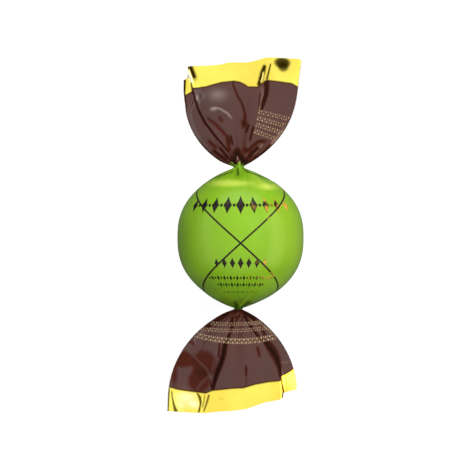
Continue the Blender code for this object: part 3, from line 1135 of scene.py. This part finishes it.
def foil_print_material(name, groups, amount):
    """Gold foil print painted dark, a painted dark reflection, with painted gold glints by the
    amount, and more so to the right.
    """
    finish = Finish(
        light=(0.014, 0.01, 0.004), deep=(0.007, 0.006, 0.003), roughness=(0.2, 0.35),
        crinkle=(1.0, 0.5, 0.1, 0.00002), specular=0.2,
    )
    material = film_material(name, groups, finish, creased=False)
    tree = material.node_tree
    base = tree.nodes["Principled BSDF"].inputs["Base Color"]
    here = tree.nodes.new("ShaderNodeTexCoord").outputs["Object"]
    axes = add_node(tree, "SeparateXYZ", {"Vector": here})
    across = add_range(tree, axes.outputs["X"], (-6.0 * MM, 12.0 * MM), (0.0, amount))
    # painted glints: gold where the noise and the place to the right reach high enough
    glints = add_node(tree, "TexNoise", {"Vector": here, "Scale": 330.0})
    total = add_node(tree, "Math", {0: across, 1: glints.outputs["Fac"]}, "ADD")
    bright = add_range(tree, total.outputs[0], (0.74, 0.9))
    tree.links.new(mixed(tree, bright, base.links[0].from_socket, (0.55, 0.33, 0.04)), base)
    return material


# ---- camera, light and floor


def add_camera():
    """Straight above the sweet, with +Y up in the picture."""
    picture_width = 104.06 * MM
    middle = (-0.99 * MM, 0.33 * MM)
    data = bpy.data.cameras.new("camera")
    data.lens = 120.0
    data.sensor_width = 36.0
    distance = picture_width * data.lens / data.sensor_width
    camera = bpy.data.objects.new("camera", data)
    camera.location = (*middle, AXIS_HEIGHT + distance)
    data.clip_start = 0.01
    data.clip_end = 10.0
    bpy.context.scene.collection.objects.link(camera)
    bpy.context.scene.camera = camera


def add_softbox(name, place, size, radiance, tint=WHITE, shines=True, shows=True):
    """A rectangular lamp, across by upright, that looks as bright as a surface of this radiance.

    It either lights the film, shows in its gloss, or does both.
    """
    data = bpy.data.lights.new(name, "AREA")
    data.shape = "RECTANGLE"
    data.color = tint
    data.size, data.size_y = size
    data.energy = radiance * math.pi * size[0] * size[1]
    lamp = bpy.data.objects.new(name, data)
    lamp.location = place
    way = Vector((0.0, 0.0, AXIS_HEIGHT)) - Vector(place)
    lamp.rotation_euler = way.to_track_quat("-Z", "Y").to_euler()
    lamp.visible_diffuse = shines
    lamp.visible_glossy = shows
    bpy.context.scene.collection.objects.link(lamp)


def mix_seen(tree, first, second, output):
    """Mixes two shaders: the first lights the sweet, and the second is what the camera sees."""
    seen = tree.nodes.new("ShaderNodeLightPath").outputs["Is Camera Ray"]
    mix = add_node(tree, "MixShader", {0: seen, 1: first.outputs[0], 2: second.outputs[0]})
    fill(tree, tree.nodes[output], {"Surface": mix.outputs[0]})


def add_light():
    """A dim studio that looks pale behind the sweet, and softboxes on all sides but the front."""
    world = bpy.data.worlds.new("studio")
    world.use_nodes = True
    tree = world.node_tree
    dim = fill(tree, tree.nodes["Background"], {"Color": WHITE, "Strength": 0.06})
    backdrop = add_node(tree, "Background", {"Color": WHITE, "Strength": 0.95})
    mix_seen(tree, dim, backdrop, "World Output")
    bpy.context.scene.world = world
    warm = (1.0, 0.72, 0.42)
    add_softbox("top_softbox", (0.0, 0.1, 0.9), (5.2, 4.2), 1.03)
    add_softbox("key_softbox", (0.55, 0.34, 0.94), (0.6, 0.6), 7.0, shows=False)
    add_softbox("back_softbox", (0.0, 1.1, 0.25), (1.2, 0.5), 2.5)
    add_softbox("right_softbox", (0.86, 0.0, 0.3), (1.5, 0.54), 3.4, warm, shines=False)
    add_softbox("left_softbox", (-0.95, 0.0, 0.3), (1.6, 0.56), 0.75, shines=False)


def add_floor():
    size = 1.6
    mesh = bpy.data.meshes.new("floor")
    corners = [(-size, -size, 0.0), (size, -size, 0.0), (size, size, 0.0), (-size, size, 0.0)]
    mesh.from_pydata(corners, [], [(0, 1, 2, 3)])
    material = bpy.data.materials.new("floor_white")
    material.use_nodes = True
    tree = material.node_tree
    matt = {"Base Color": (0.14, 0.14, 0.14), "Roughness": 0.9, "Specular IOR Level": 0.1}
    glow = {"Emission Color": WHITE, "Emission Strength": 0.92}
    plain = fill(tree, tree.nodes["Principled BSDF"], matt)
    lifted = add_node(tree, "BsdfPrincipled", matt | glow)
    mix_seen(tree, plain, lifted, "Material Output")
    mesh.materials.append(material)
    floor = bpy.data.objects.new("floor", mesh)
    bpy.context.scene.collection.objects.link(floor)


# ---- the sweet


def build_sweet():
    groups = (film_crinkle_group(), painted_shade_highlight_group())
    # the dark and pale colours of these finishes are painted shade, painted dark reflections and
    # painted highlights, and wear
    green = film_material("green_print", groups, Finish(
        light=(0.205, 0.4, 0.012), deep=(0.18, 0.365, 0.01), roughness=(0.2, 0.32),
        crinkle=(1.0, 0.4, 0.2, 0.00004), dark=(0.012, 0.04, 0.003), pale=(0.5, 0.62, 0.08),
        specular=0.25,
    ))
    brown = film_material("brown_print", groups, Finish(
        light=(0.058, 0.0106, 0.0052), deep=(0.049, 0.009, 0.0044), roughness=(0.4, 0.6),
        crinkle=(1.0, 0.5, 0.3, 0.00006), dark=(0.0125, 0.003, 0.002), pale=(0.52, 0.42, 0.38),
        dark_start=-0.45, specular=0.05, coat=1.5,
    ))
    gold = film_material("gold_foil", groups, Finish(
        light=(0.96, 0.87, 0.13), deep=(0.95, 0.7, 0.09), roughness=(0.1, 0.2),
        crinkle=(1.3, 0.6, 0.5, 0.00006), dark=(0.025, 0.014, 0.001), pale=(1.0, 1.0, 0.65),
        metallic=1.0,
    ))
    silver = film_material("silver_inside", groups, Finish(
        light=(0.8, 0.79, 0.77), deep=(0.7, 0.69, 0.67), roughness=(0.25, 0.4),
        crinkle=(1.0, 0.5, 0.3, 0.00008), metallic=0.25,
    ), creased=False)
    pale_gold = film_material("pale_gold_print", groups, Finish(
        light=(0.36, 0.25, 0.15), deep=(0.22, 0.14, 0.08), roughness=(0.3, 0.45),
        crinkle=(3.0, 0.8, 0.1, 0.00002), metallic=0.3,
    ), creased=False)
    line_print = foil_print_material("line_foil_painted_dark", groups, 0.22)
    foil_print = foil_print_material("gold_foil_painted_dark", groups, 0.45)
    points, tones, ends = film_grid()
    normals = grid_normals(points)
    bands = (
        ("upper_gold_rim", 0, ends[0], gold, "gold_film"),
        ("upper_brown_tail", ends[0], ends[1], brown, "brown_film"),
        ("lower_brown_tail", ends[2], ends[3], brown, "brown_film"),
        ("lower_gold_rim", ends[3], ends[4], gold, "gold_film"),
    )
    for name, first, last, material, slot in bands:
        part = slice(first, last + 1)
        film_shell(name, points[part], normals[part], tones[part], material, silver)
    part = slice(ends[1], ends[2] + 1)
    body = ball_film(points[part], normals[part], tones[part], green)
    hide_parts("wrapped_bonbon")
    crossed_lines(line_print)
    ball_ornament(foil_print)
    tail_ornaments(pale_gold)


add_camera()
add_light()
add_floor()
build_sweet()
bpy.context.scene.view_settings.view_transform = "Standard"
